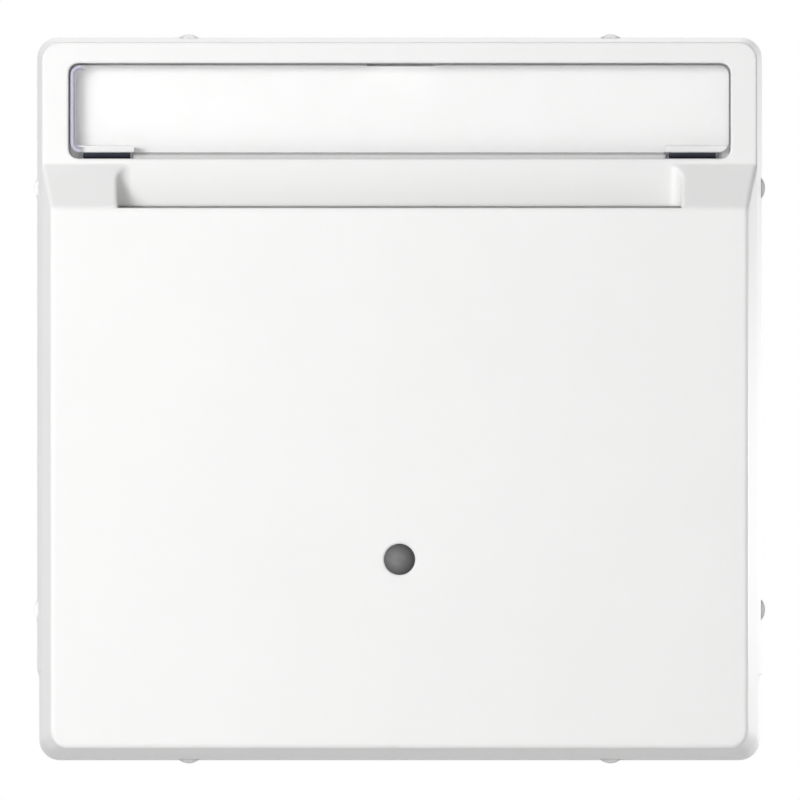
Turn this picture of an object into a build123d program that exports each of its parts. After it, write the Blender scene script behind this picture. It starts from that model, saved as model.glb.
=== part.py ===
from build123d import *
import math
import os

# Hotel key card switch: a snap-on front with a card slot and a label window, over a flush insert
# with a push-button switch. Millimetres. X to the right, Z up, the front faces -Y and the wall is
# the plane Y = 0. A height is measured in front of the wall, so what lies behind it has a minus.

# The key card that the switch takes
card_width = 53.98
card_thickness = 0.76

# Common clearances
play = 0.3            # between pieces that move past each other or drop in
seat_gap = 0.05       # between pieces that rest on each other but can be taken apart
pivot_gap = 0.05      # radial, between a pin and the hole that turns on it
overrun = 1.0         # how far a cutting shape runs past the face it leaves by

# Support ring of the insert, lying on the wall
ring_size = 69.0
ring_thickness = 1.2
ring_corner_cut = 7.0
ring_opening_width = 28.0
lamp_margin = 2.58        # from the lamp's centre to the edge of the ring's opening
box_screw_spacing = 60.0
box_slot_length = 6.0
box_slot_width = 3.8

# Front cover
cover_side = 8.41         # from the card's edge to the side of the cover
slot_z = 18.72            # slot line, above the middle
cover_corner = 2.06
band_proud = 0.2          # the upper side walls stand this much proud of the lower ones
band_foot = 27.3          # their lower end, below the middle
band_chamfer = 0.7
bar_height = 7.5          # face of the top bar, above the wall
bar_span = 12.51          # the bar, from the top edge down to the foot of the slope
pocket_rise = 4.06        # face of the card pocket, above the bar
slope_run = 4.27
side_draft = 0.35
side_draft_pocket = 0.9
top_draft = 0.5
foot_draft = 0.78
foot_draft_pocket = 0.52
front_corner = 1.8
front_wall = 1.6
bar_wall = 1.5
side_wall = 1.5
inner_corner = 1.0
outer_edge = 0.42
slope_edge = 0.8
recess_edge = 0.35

# Card slot
slot_play = 0.61          # beside the card, each side, at the slot line
mouth_flare = 0.17        # the recess above it is wider by this, each side
recess_round = 1.3
tongue_length = 1.5       # the recess floor runs on below the slot line
lead_groove = 0.15        # across the floor, just above the slot line
lead_groove_depth = 0.9

# Label window
window_side = 2.925       # from the side of the cover to the label opening
window_height = 9.36
window_margin = 2.58      # below the top edge of the cover
window_corner = 1.0
window_depth = 2.2
window_back = 1.2
window_ledge = 0.61       # strip of cover that shows below the clear lid
window_ledge_drop = 1.9
window_plate = 0.8
window_rim = 0.5
window_flush = 0.2        # the lid's face lies this far below the bar face
window_side_gap = 0.15
hook_slot_width = 5.2
hook_slot_edge = 1.15     # from the end of the opening to the slot
hook_drop = 0.7
hook_thickness = 0.7
hook_plate = 0.5
notch_width = 6.4
notch_depth = 0.1
notch_relief = 0.9        # how far the notch reaches into the label floor
label_thickness = 0.25

# Frame snap nubs on the skirts
nub_place = 20.7
nub_radius = 1.5
nub_proud = 0.3
nub_length = 1.0

# Inside of the pocket front
card_room = 0.34          # between the ribs and the guide, beyond the card's thickness
rib_place = 12.0
rib_width = 1.2
rib_lead = 1.0
boss_radius = 1.9
boss_below_slot = 8.72
boss_lower_x = 22.0
boss_lower_z = -24.0
pilot_radius = 0.85
pilot_depth = 3.6

# Card guide
guide_step = 0.5          # its face lies this far behind the recess floor
guide_thickness = 1.5
rail_play = 0.31
rail_width = 1.0
stop_above_lens = 4.12
stop_width = 1.3
hatch_half = 5.0
hatch_above = 3.5
ear_thickness = 1.6
ear_gap = 0.4
ear_half = 2.2
ear_below = 1.7
leg_x = 24.0
leg_below_slot = 4.72
leg_post = 3.0
leg_width = 4.0
leg_thickness = 1.4
leg_hook = 0.7
leg_hook_height = 1.4
guide_screw_head = 1.7
guide_screw_head_height = 1.1
guide_screw_shank = 0.8

# Card lever and its pin and spring
pin_drop = 1.7            # pin centre behind the guide's rear face
pin_radius = 0.9
lever_arm = 9.0           # pin to push-button axis
nose_arm = 14.0           # pin to the nose's tip
lever_hub = 1.9
lever_half = 4.0
hub_left = 4.7
hub_right = 2.6
lever_thickness = 1.6
pad_round = 1.8
nose_gap = 0.4
nose_round = 0.8
nose_half = 3.0
lever_tail = 3.0          # the lever runs this far below the nose's tip
lever_step = 2.4          # its lower half lies this far in front of the pad
spring_wire = 0.4
spring_coil = 1.4
spring_pitch = 0.85
spring_side_gap = 0.5

# Indicator
lens_radius = 1.5
lens_z = -15.72
lens_proud = 0.35
lens_gap = 0.03
lens_flange = 2.2
lens_flange_height = 0.9
pipe_flange_height = 1.0
pipe_lamp_gap = 0.7
lamp_proud = 0.3          # the lamp ends this far below the ring's face
lamp_foot_radius = 1.9
lamp_foot_height = 0.8

# Insert housing
housing_side = 5.3        # beyond the ring's opening
housing_end = 4.7
housing_corner_cut = 4.0
housing_wall = 1.5
lid_thickness = 2.0
housing_depth = 22.7      # from the wall plane to the rear face
bridge_face = 9.4
bridge_thickness = 1.2
bridge_half = 3.4
post_radius = 2.0
post_depth = 10.0
ring_screw_edge = 2.3     # beyond the ring's opening
ring_screw_radius = 1.0
ring_screw_head = 1.9
ring_screw_head_height = 0.9
ring_screw_gap = 0.2
ring_screw_length = 8.0
driver_slot_width = 0.5
driver_slot_depth = 0.4

# Push button and its spring
button_width = 12.0
button_height = 9.0
button_proud = 1.7
button_flange = 1.2
button_flange_height = 1.3
button_edge = 0.5
stem_radius = 2.0
stem_end = 11.4           # behind the wall
button_spring_wire = 0.6
button_spring_coil = 2.9
button_spring_turns = 5
contact_spring_coil = 1.6
contact_spring_turns = 5
contact_spring_wire = 0.4
spring_pip_radius = 2.2
spring_pip_height = 2.4

# Switch contacts
contact_pivot_depth = 12.7
contact_pin_radius = 0.8
contact_eye = 1.4
contact_arm_half = 2.5
contact_arm_thickness = 0.5
contact_place = 5.0       # contact rivets above the push-button axis
contact_end = 2.0
rivet_radius = 1.2
rivet_height = 0.8
contact_rest_gap = 0.1
contact_pad_height = 0.6
strip_thickness = 0.8
strip_half = 1.2
contact_bracket = 1.2
bracket_gap = 0.6
bracket_drop = 2.3

# Terminals
terminal_x = 14.6
terminal_z = 14.0
bar_half = 4.5
bar_front = 8.0
bar_rear = 19.5
feed_width = 2.4
clamp_half = 3.0
clamp_root_x = 8.9
clamp_front = 10.0
clamp_bend_depth = 17.4
clamp_bend_width = 1.9
clamp_tip_depth = 11.2
clamp_bend_radius = 0.9
clamp_thickness = 0.4
clamp_wall = 1.4
wire_hole_radius = 1.3
wire_hole_offset = 1.9

# Release slides
release_low_x = 9.4
release_high_x = 12.8
release_half = 3.5
release_proud = 2.0
release_shoulder = 0.4
release_bar = 1.6
release_finger_half = 0.5
release_finger_width = 1.2

# Indicator lamp board
board_half = 4.0
board_above_lens = 4.52
board_below_lens = 2.58
board_front = 3.0
board_thickness = 1.2
lamp_lead_x = 9.5
lamp_lead_width = 2.0
lamp_lead_height = 1.4

# Claws
claw_pivot_x = 21.2
claw_pivot_depth = 3.0
claw_boss = 1.2
claw_trunnion = 0.75
claw_half = 4.4
lug_thickness = 1.2
lug_half = 1.6
lug_reach = 1.8
claw_screw_x = 24.2
claw_screw_radius = 1.5
claw_screw_head = 2.7
claw_screw_head_height = 1.7
claw_screw_end = 12.0
claw_screw_gap = 0.2
claw_web_depth = 7.0
claw_web_start = 1.4
claw_web_end = 5.6
claw_tip_x = 6.2
claw_tip_depth = 13.0
claw_sheet = 1.0
claw_tooth = 1.0
claw_slot_inner = 1.6     # slot's end on the pivot's side, past the screw's centre
claw_slot_outer = 0.4

# Worked out from the sizes above
cover_width = card_width + 2 * cover_side
cover_height = 2 * (slot_z + slope_run + bar_span)
window_width = cover_width - 2 * window_side
ring_opening_height = 2 * (lamp_margin - lens_z)
housing_width = ring_opening_width + 2 * housing_side
housing_height = ring_opening_height + 2 * housing_end
ring_screw_side = ring_opening_width / 2 + ring_screw_edge
ring_screw_end = ring_opening_height / 2 + ring_screw_edge
stop_z = lens_z + stop_above_lens
board_top = lens_z + board_above_lens
board_foot = lens_z - board_below_lens
leg_z = slot_z - leg_below_slot
rail_inner = card_width / 2 + rail_play
boss_upper_x = rail_inner + rail_width + boss_radius
boss_upper_z = slot_z - boss_below_slot
cover_rear = ring_thickness + play
pocket_height = bar_height + pocket_rise
pocket_inner = pocket_height - front_wall
bar_inner = bar_height - bar_wall
slope_foot_z = slot_z + slope_run
slot_half = card_width / 2 + slot_play
mouth_half = slot_half + mouth_flare
side_at_bar = cover_width / 2 - side_draft
side_at_pocket = side_at_bar - side_draft_pocket
top_at_bar = cover_height / 2 - top_draft
foot_at_bar = -cover_height / 2 + foot_draft
foot_at_pocket = foot_at_bar + foot_draft_pocket
pocket_side = side_at_pocket - side_wall
pocket_foot = foot_at_pocket + side_wall
pocket_top = slot_z - tongue_length
guide_front = bar_height - guide_step
guide_rear = guide_front - guide_thickness
window_top = cover_height / 2 - window_margin
window_foot = window_top - window_height
window_mid = (window_top + window_foot) / 2
label_floor = bar_height - window_depth
lid_front = bar_height - window_flush
pin_height = guide_rear - pin_drop
pin_z = lever_arm
button_front = ring_thickness + button_proud
pad_rear = button_front + play
nose_tip = pocket_inner - nose_gap
nose_z = pin_z - nose_arm
card_lever_turn = math.degrees(math.asin((nose_tip - guide_front + seat_gap) / nose_arm))
button_travel = lever_arm * math.radians(card_lever_turn)
lid_half_width = ring_opening_width / 2 - play
lid_half_height = ring_opening_height / 2 - play
arm_front = stem_end + play + seat_gap
arm_rear = arm_front + contact_arm_thickness
housing_floor = housing_depth - housing_wall


def front(height):
    """The plane parallel to the wall, at a height in front of it, seen from the room."""
    return Plane.XZ.offset(height)


def slab(x_low, x_high, z_low, z_high, low, high, mode=Mode.ADD):
    """A block between two heights in front of the wall."""
    with Locations(((x_low + x_high) / 2, -(low + high) / 2, (z_low + z_high) / 2)):
        Box(x_high - x_low, high - low, z_high - z_low, mode=mode)


def rod(x, z, low, high, radius, mode=Mode.ADD):
    """A round bar square to the wall, between two heights."""
    with BuildSketch(front(low)) as circle:
        with Locations((x, z)):
            Circle(radius)
    extrude(circle.sketch, amount=high - low, mode=mode)


def axle(x_low, x_high, height, z, radius, mode=Mode.ADD):
    """A round bar along X."""
    with BuildSketch(Plane.YZ.offset(x_low)) as circle:
        with Locations((-height, z)):
            Circle(radius)
    extrude(circle.sketch, amount=x_high - x_low, mode=mode)


def side_profile(points, x_low, x_high, mode=Mode.ADD):
    """A prism along X, from its outline as (height, z) points."""
    with BuildSketch(Plane.YZ.offset(x_low)) as outline:
        Polygon(*[(-height, z) for height, z in points], align=None)
    extrude(outline.sketch, amount=x_high - x_low, mode=mode)


def coil_arcs(rows):
    """Draws a coil through its points, each stretch as two arcs that meet smoothly."""
    for (start, start_way), (end, end_way) in zip(rows, rows[1:]):
        chord = end - start
        ways = start_way + end_way
        bend = 2 * (1 - start_way.dot(end_way))
        along = chord.dot(ways)
        reach = (-along + math.sqrt(along * along + bend * chord.dot(chord))) / bend
        near = start + start_way * reach
        far = end - end_way * reach
        middle = (near + far) / 2
        TangentArc(start, middle, tangent=start_way)
        TangentArc(middle, end, tangent=(far - near).normalized())


def coil_points(centre, across, up, along, radius, pitch, first, last):
    """Points and directions a quarter turn or less apart along a coil, angles in turns."""
    count = math.ceil(abs(last - first) * 4)
    rows = []
    for step in range(count + 1):
        turn = first + (last - first) * step / count
        angle = 2 * math.pi * turn
        place = centre + (across * math.cos(angle) + up * math.sin(angle)) * radius
        place = place + along * pitch * abs(turn - first)
        way = (up * math.cos(angle) - across * math.sin(angle)) * (2 * math.pi * radius)
        way = way if last > first else way * -1
        rows.append((place, (way + along * pitch).normalized()))
    return rows


def coil_gap(name, rows, wire, radius, pitch):
    """Prints the least gap between neighbouring turns, measured on the coil's points."""
    least = min(
        (rows[b][0] - rows[a][0]).length
        for a in range(len(rows)) for b in range(a + 3, len(rows))
    )
    print(name, "least gap between turns", round(least - wire, 3), "coil radius", radius,
          "pitch", round(pitch, 3))


# Front cover: a low bar with the label window over a raised card pocket
boss_places = [
    (boss_upper_x, boss_upper_z), (-boss_upper_x, boss_upper_z),
    (boss_lower_x, boss_lower_z), (-boss_lower_x, boss_lower_z),
]
hook_inner = window_width / 2 - hook_slot_edge - hook_slot_width
hook_outer = window_width / 2 - hook_slot_edge

with BuildPart() as front_cover:
    with BuildSketch(front(cover_rear)):
        RectangleRounded(cover_width, cover_height, cover_corner)
    with BuildSketch(front(bar_height)):
        with Locations((0, (top_at_bar + foot_at_bar) / 2)):
            RectangleRounded(2 * side_at_bar, top_at_bar - foot_at_bar, front_corner)
    loft()

    # the upper side walls stand a little proud
    with BuildSketch(front(cover_rear)):
        with Locations((0, cover_height / 2)):
            Rectangle(cover_width + 2 * band_proud, cover_height / 2 + band_foot,
                      align=(Align.CENTER, Align.MAX))
        fillet(vertices().group_by(Axis.Y)[-1], cover_corner)
        chamfer(vertices().group_by(Axis.Y)[0], band_chamfer, band_proud)
    with BuildSketch(front(bar_height)):
        with Locations((0, top_at_bar)):
            Rectangle(2 * side_at_bar, top_at_bar + band_foot, align=(Align.CENTER, Align.MAX))
        fillet(vertices().group_by(Axis.Y)[-1], front_corner)
        chamfer(vertices().group_by(Axis.Y)[0], band_chamfer, band_proud)
    loft()

    # the raised pocket, whose upper edge is the slope
    with BuildSketch(front(bar_height)):
        with Locations((0, foot_at_bar)):
            Rectangle(2 * side_at_bar, slope_foot_z - foot_at_bar, align=(Align.CENTER, Align.MIN))
        fillet(vertices().group_by(Axis.Y)[0], front_corner)
    with BuildSketch(front(pocket_height)):
        with Locations((0, foot_at_pocket)):
            Rectangle(2 * side_at_pocket, slot_z - foot_at_pocket, align=(Align.CENTER, Align.MIN))
        fillet(vertices().group_by(Axis.Y)[0], front_corner)
    loft()
    pocket_edges = edges().group_by(Axis.Y)[0]
    slope_top = pocket_edges.group_by(Axis.Z)[-1]
    fillet(slope_top, slope_edge)
    rim_edges = edges().filter_by_position(Axis.Y, -pocket_height, -pocket_height + seat_gap)
    fillet(rim_edges.filter_by(lambda edge: edge.center().Z < slot_z - slope_edge), outer_edge)

    # nubs that snap into the frame, all round the skirts
    for place in (-nub_place, nub_place):
        for sign in (-1, 1):
            side = cover_width / 2 + band_proud - nub_radius + nub_proud
            end = cover_height / 2 - nub_radius + nub_proud
            rod(sign * side, place, cover_rear, cover_rear + nub_length, nub_radius)
            rod(place, sign * end, cover_rear, cover_rear + nub_length, nub_radius)

    # hollow inside: the bar and the skirts, then the pocket
    with BuildSketch(front(cover_rear)):
        RectangleRounded(2 * (side_at_bar - side_wall), cover_height - 2 * (top_draft + side_wall),
                         inner_corner)
    extrude(amount=bar_inner - cover_rear, mode=Mode.SUBTRACT)
    slab(-pocket_side, pocket_side, pocket_foot, pocket_top, bar_inner - overrun, pocket_inner,
         Mode.SUBTRACT)

    # the thick corner behind the slope is cored out beside the slot
    slope_length = math.hypot(pocket_rise, slope_run)
    core_foot = bar_height - bar_wall * slope_run / slope_length
    core_z = slope_foot_z - bar_wall * pocket_rise / slope_length
    steep = slope_run / pocket_rise
    core = [
        (bar_inner, pocket_top), (bar_inner, core_z + (core_foot - bar_inner) * steep),
        (pocket_inner, core_z - (pocket_inner - core_foot) * steep), (pocket_inner, pocket_top),
    ]
    side_profile(core, mouth_half + side_wall, pocket_side, Mode.SUBTRACT)
    side_profile(core, -pocket_side, -mouth_half - side_wall, Mode.SUBTRACT)

    # recess above the slot, then the slot itself
    with BuildSketch(Plane.XY.offset(slot_z)):
        with Locations((0, -bar_height)):
            Rectangle(2 * slot_half, pocket_rise + overrun, align=(Align.CENTER, Align.MAX))
        fillet(vertices().group_by(Axis.Y)[-1], recess_round)
    with BuildSketch(Plane.XY.offset(slope_foot_z + overrun)):
        with Locations((0, -bar_height)):
            Rectangle(2 * mouth_half, pocket_rise + overrun, align=(Align.CENTER, Align.MAX))
        fillet(vertices().group_by(Axis.Y)[-1], recess_round)
    loft(mode=Mode.SUBTRACT)
    slab(-slot_half, slot_half, pocket_top - overrun, slot_z, bar_height, pocket_inner,
         Mode.SUBTRACT)

    # soften the edges of the recess where it leaves the slope and the pocket face
    fillet(edges().filter_by(
        lambda edge: slot_half - recess_round < abs(edge.center().X) < mouth_half
        and edge.center().Z > slot_z + seat_gap
        and -edge.center().Y > bar_height + seat_gap
        and abs(edge.center().Y + bar_height + recess_round) > seat_gap), recess_edge)

    # a groove across the recess floor, just above the slot line
    slab(-slot_half, slot_half, slot_z, slot_z + lead_groove, bar_height - lead_groove_depth,
         bar_height + recess_round, Mode.SUBTRACT)

    # label recess with its back wall, ledge, hook slots and notch
    slab(-side_at_bar + side_wall / 2, side_at_bar - side_wall / 2, window_foot - bar_wall,
         top_at_bar - side_wall / 2, label_floor - window_back, bar_inner)
    with BuildSketch(front(label_floor)):
        with Locations((0, window_mid)):
            RectangleRounded(window_width, window_height, window_corner)
    extrude(amount=window_depth + overrun, mode=Mode.SUBTRACT)
    slab(-window_width / 2 + window_corner, window_width / 2 - window_corner,
         window_foot, window_foot + window_ledge - window_side_gap,
         label_floor, bar_height - window_ledge_drop)
    for sign in (-1, 1):
        ends = sorted((sign * hook_inner, sign * hook_outer))
        slab(ends[0], ends[1], window_foot - bar_wall, window_foot + window_ledge + hook_drop,
             label_floor - window_back - overrun, bar_inner, Mode.SUBTRACT)
        slab(ends[0], ends[1], window_foot, window_foot + window_ledge + hook_drop,
             bar_inner - overrun, bar_height - window_ledge_drop, Mode.SUBTRACT)
    slab(-notch_width / 2, notch_width / 2, window_top - notch_depth - window_side_gap, window_top,
         label_floor - notch_relief, label_floor, Mode.SUBTRACT)

    # inside the pocket: ribs that hold the card back, and screw bosses
    for x in (-rib_place, rib_place):
        rib_tip = guide_front + card_thickness + card_room
        rib_foot = stop_z + play
        side_profile(
            [(pocket_inner, rib_foot), (rib_tip, rib_foot), (rib_tip, pocket_top - 2 * rib_lead),
             (rib_tip + rib_lead, pocket_top - rib_lead), (pocket_inner, pocket_top - rib_lead)],
            x - rib_width / 2, x + rib_width / 2)
    for x, z in boss_places:
        rod(x, z, guide_front, pocket_inner, boss_radius)
        rod(x, z, guide_front, guide_front + pilot_depth, pilot_radius, Mode.SUBTRACT)

    # hole for the indicator lens
    rod(0, lens_z, pocket_inner - overrun, pocket_height + overrun, lens_radius + lens_gap,
        Mode.SUBTRACT)

# Clear lid over the label, hooked in below and snapped in above
lid_foot = window_foot + window_ledge
lid_top = window_top - window_side_gap
lid_side = window_width / 2 - window_side_gap
lid_rear = label_floor + label_thickness + seat_gap
hook_rear = bar_inner - hook_thickness - seat_gap
hook_bead_z = window_foot - hook_drop + hook_thickness / 2

with BuildPart() as label_window:
    with BuildSketch(front(lid_rear)):
        with Locations((0, (lid_foot + lid_top) / 2)):
            RectangleRounded(2 * lid_side, lid_top - lid_foot, window_corner)
    extrude(amount=lid_front - lid_rear)
    fillet(faces().sort_by(Axis.Y)[0].edges(), window_side_gap)
    slab(-lid_side + window_rim, lid_side - window_rim, lid_foot + window_rim,
         lid_top - window_rim, lid_rear - overrun, lid_front - window_plate, Mode.SUBTRACT)
    slab(-notch_width / 2, notch_width / 2, lid_top - notch_depth, lid_top + overrun,
         lid_rear - overrun, lid_front + overrun, Mode.SUBTRACT)
    slab(-notch_width / 2 - window_rim, notch_width / 2 + window_rim,
         lid_top - notch_depth - window_rim, lid_top - notch_depth, lid_rear, lid_front)
    for sign in (-1, 1):
        ends = sorted((sign * (hook_inner + play), sign * (hook_outer - play)))
        slab(ends[0], ends[1], lid_foot, lid_foot + hook_plate, hook_rear, lid_rear)
        slab(ends[0], ends[1], hook_bead_z, lid_foot + hook_plate,
             hook_rear, hook_rear + hook_thickness)
        axle(ends[0], ends[1], hook_rear + hook_thickness / 2, hook_bead_z, hook_thickness / 2)

with BuildPart() as label_insert:
    with BuildSketch(front(label_floor)):
        with Locations((0, (lid_foot + lid_top) / 2)):
            RectangleRounded(2 * lid_side, lid_top - lid_foot, window_corner)
    extrude(amount=label_thickness)
    for sign in (-1, 1):
        ends = sorted((sign * hook_inner, sign * (hook_outer + hook_slot_edge)))
        slab(ends[0], ends[1], lid_foot - overrun, lid_foot + hook_drop,
             label_floor - overrun, label_floor + window_depth, Mode.SUBTRACT)
    slab(-notch_width / 2 - window_rim, notch_width / 2 + window_rim, lid_top - notch_depth,
         lid_top + overrun, label_floor - overrun, label_floor + window_depth, Mode.SUBTRACT)

# Indicator lens: a small dome in the pocket face, with a flange behind it
with BuildPart() as indicator_lens:
    dome_radius = (lens_radius ** 2 + lens_proud ** 2) / (2 * lens_proud)
    with BuildSketch(Plane.YZ):
        with BuildLine():
            Line((-pocket_height - lens_proud, lens_z), (-pocket_inner + lens_flange_height, lens_z))
            Line((-pocket_inner + lens_flange_height, lens_z),
                 (-pocket_inner + lens_flange_height, lens_z + lens_flange))
            Line((-pocket_inner + lens_flange_height, lens_z + lens_flange),
                 (-pocket_inner, lens_z + lens_flange))
            Line((-pocket_inner, lens_z + lens_flange), (-pocket_inner, lens_z + lens_radius))
            Line((-pocket_inner, lens_z + lens_radius), (-pocket_height, lens_z + lens_radius))
            RadiusArc((-pocket_height, lens_z + lens_radius), (-pocket_height - lens_proud, lens_z),
                      -dome_radius)
        make_face()
    revolve(axis=Axis((0, 0, lens_z), (0, 1, 0)))

# Light pipe, from the lamp to the lens
lamp_top = ring_thickness - lamp_proud
with BuildPart() as light_pipe:
    rod(0, lens_z, lamp_top + pipe_lamp_gap, pocket_inner - lens_flange_height, lens_radius)
    rod(0, lens_z, guide_front, guide_front + pipe_flange_height, lens_flange)

# Card guide: the plate that the card slides on, with its rails, stop, lever ears and snap legs
guide_side = pocket_side - play
guide_foot = pocket_foot + play
guide_top = pocket_top - play
rail_front = pocket_inner - play
ear_inner = hatch_half + ear_gap
leg_rear = -leg_hook_height - seat_gap
leg_outer = leg_x + leg_thickness / 2

with BuildPart() as card_guide:
    slab(-guide_side, guide_side, guide_foot, guide_top, guide_rear, guide_front)
    for sign in (-1, 1):
        ends = sorted((sign * rail_inner, sign * (rail_inner + rail_width)))
        slab(ends[0], ends[1], stop_z - stop_width, guide_top - play, guide_front, rail_front)
        ends = sorted((sign * ear_inner, sign * (ear_inner + ear_thickness)))
        slab(ends[0], ends[1], pin_z - ear_half, pin_z + ear_half, pin_height - ear_below,
             guide_rear)
    slab(-rail_inner - rail_width, rail_inner + rail_width, stop_z - stop_width, stop_z,
         guide_front, rail_front)
    slab(-hatch_half, hatch_half, nose_z - lever_tail - stop_width, pin_z + hatch_above,
         guide_rear - overrun, guide_front + overrun, Mode.SUBTRACT)
    axle(-ear_inner - ear_thickness - overrun, ear_inner + ear_thickness + overrun,
         pin_height, pin_z, pin_radius + pivot_gap / 2, Mode.SUBTRACT)
    rod(0, lens_z, guide_rear - overrun, guide_front + overrun, lens_radius + play / 2,
        Mode.SUBTRACT)
    for x, z in boss_places:
        rod(x, z, guide_rear - overrun, guide_front + overrun, guide_screw_shank + play / 2,
            Mode.SUBTRACT)
    # the legs stand on the ring and hook behind it
    for side in (-1, 1):
        for z in (-leg_z, leg_z):
            ends = sorted((side * (leg_outer - leg_post), side * (leg_outer + leg_hook)))
            slab(ends[0], ends[1], z - leg_width / 2, z + leg_width / 2, ring_thickness, guide_rear)
            ends = sorted((side * (leg_outer - leg_thickness), side * leg_outer))
            slab(ends[0], ends[1], z - leg_width / 2, z + leg_width / 2, leg_rear, ring_thickness)
            ends = sorted((side * (leg_outer - leg_thickness), side * (leg_outer + leg_hook)))
            slab(ends[0], ends[1], z - leg_width / 2, z + leg_width / 2, leg_rear, -seat_gap)

with BuildPart() as guide_screws:
    for x, z in boss_places:
        rod(x, z, guide_rear - guide_screw_head_height, guide_rear, guide_screw_head)
        rod(x, z, guide_rear, guide_front + pilot_depth - play, guide_screw_shank)
        slab(x - guide_screw_head, x + guide_screw_head, z - driver_slot_width / 2,
             z + driver_slot_width / 2, guide_rear - guide_screw_head_height,
             guide_rear - guide_screw_head_height + driver_slot_depth, Mode.SUBTRACT)

# Card lever: hangs from the pin, its nose crosses the card's path and its pad faces the button
with BuildPart() as card_lever:
    axle(-hub_left, hub_right, pin_height, pin_z, lever_hub)
    plate_front = pad_rear + pad_round
    lower_rear = pad_rear + lever_step
    lower_front = lower_rear + lever_thickness
    plate_top = pin_z - spring_coil - spring_wire - play
    side_profile(
        [(pin_height - lever_hub / 2, pin_z), (pin_height - lever_hub / 2 + play, pin_z - lever_hub),
         (pad_rear + play, pad_round), (pad_rear + play, -pad_round / 2),
         (lower_rear, nose_z + lever_hub), (lower_rear, nose_z - lever_tail),
         (lower_front, nose_z - lever_tail), (lower_front, nose_z + lever_hub),
         (plate_front, pad_round), (plate_front, pin_z)],
        -lever_half, hub_right)
    side_profile(
        [(pad_rear + play, pad_round), (pad_rear + play, -pad_round / 2),
         (lower_rear, nose_z + lever_hub), (lower_rear, nose_z - lever_tail),
         (lower_front, nose_z - lever_tail), (lower_front, nose_z + lever_hub),
         (plate_front, pad_round), (plate_front, plate_top),
         (pin_height - lever_hub / 2 + play, plate_top)],
        hub_right, lever_half)
    axle(-lever_half, lever_half, pad_rear + pad_round, 0, pad_round)
    # the nose: a ramp above, rounded at the tip
    side_profile(
        [(lower_rear, nose_z - nose_round), (nose_tip - nose_round, nose_z - nose_round),
         (nose_tip - nose_round * math.cos(math.pi / 4),
          nose_z + nose_round * math.sin(math.pi / 4)),
         (plate_front, pad_round)],
        -nose_half, nose_half)
    axle(-nose_half, nose_half, nose_tip - nose_round, nose_z, nose_round)
    axle(-hub_left - overrun, hub_right + overrun, pin_height, pin_z, pin_radius + pivot_gap,
         Mode.SUBTRACT)

with BuildPart() as lever_pin:
    axle(-ear_inner - ear_thickness - play, ear_inner + ear_thickness + play, pin_height, pin_z,
         pin_radius)

# Lever spring: two turns round the pin, one leg on the guide and one on the lever
start_turns = 189 / 360
end_turns = 150 / 360 - 2
spring_start_x = hub_right + spring_side_gap
coil_rows = coil_points(
    Vector(spring_start_x, -pin_height, pin_z), Vector(0, -1, 0), Vector(0, 0, 1), Vector(1, 0, 0),
    spring_coil, spring_pitch, start_turns, end_turns)
guide_leg = (guide_rear - spring_wire / 2 - seat_gap - pin_height
             - spring_coil * math.cos(2 * math.pi * end_turns))
guide_leg = guide_leg / math.sin(2 * math.pi * end_turns)
lever_leg = pin_z - button_height / 2 - 2 * spring_wire
with BuildPart() as lever_spring:
    with BuildLine() as lever_spring_path:
        first_place, first_way = coil_rows[0]
        Line(first_place - first_way * lever_leg, first_place)
        coil_arcs(coil_rows)
        last_place, last_way = coil_rows[-1]
        Line(last_place, last_place + last_way * guide_leg)
    with BuildSketch(Plane(origin=lever_spring_path.line @ 0, z_dir=lever_spring_path.line % 0)):
        Circle(spring_wire / 2)
    sweep(path=lever_spring_path.line)
coil_gap("lever_spring", coil_rows, spring_wire, spring_coil, spring_pitch)


# Support ring of the insert, with slots for the box screws, the snap legs and the claw screws
claw_lug_low = claw_half + play
with BuildPart() as support_ring:
    with BuildSketch(front(0)):
        Rectangle(ring_size, ring_size)
        chamfer(vertices(), ring_corner_cut)
        Rectangle(ring_opening_width, ring_opening_height, mode=Mode.SUBTRACT)
        with Locations((-box_screw_spacing / 2, 0), (box_screw_spacing / 2, 0)):
            SlotOverall(box_slot_length, box_slot_width, mode=Mode.SUBTRACT)
        with Locations((0, -box_screw_spacing / 2), (0, box_screw_spacing / 2)):
            SlotOverall(box_slot_length, box_slot_width, rotation=90, mode=Mode.SUBTRACT)
        with GridLocations(2 * (leg_outer - leg_thickness / 2), 2 * leg_z, 2, 2):
            Rectangle(leg_thickness + 2 * play, leg_width + 2 * play, mode=Mode.SUBTRACT)
        with Locations((-claw_screw_x, 0), (claw_screw_x, 0)):
            Circle(claw_screw_radius + claw_screw_gap, mode=Mode.SUBTRACT)
        with Locations((-ring_screw_side, 0), (ring_screw_side, 0),
                       (0, -ring_screw_end), (0, ring_screw_end)):
            Circle(ring_screw_radius + ring_screw_gap, mode=Mode.SUBTRACT)
    extrude(amount=ring_thickness)
    # lugs bent back from the ring carry the claws
    for side in (-1, 1):
        for sign in (-1, 1):
            ends = sorted((sign * claw_lug_low, sign * (claw_lug_low + lug_thickness)))
            slab(side * claw_pivot_x - lug_half, side * claw_pivot_x + lug_half, ends[0], ends[1],
                 -claw_pivot_depth - lug_reach, 0)
        with BuildSketch(Plane.XY.offset(-claw_lug_low - lug_thickness - overrun)):
            with Locations((side * claw_pivot_x, claw_pivot_depth)):
                Circle(claw_trunnion + pivot_gap)
        extrude(amount=2 * (claw_lug_low + lug_thickness + overrun), mode=Mode.SUBTRACT)

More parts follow.
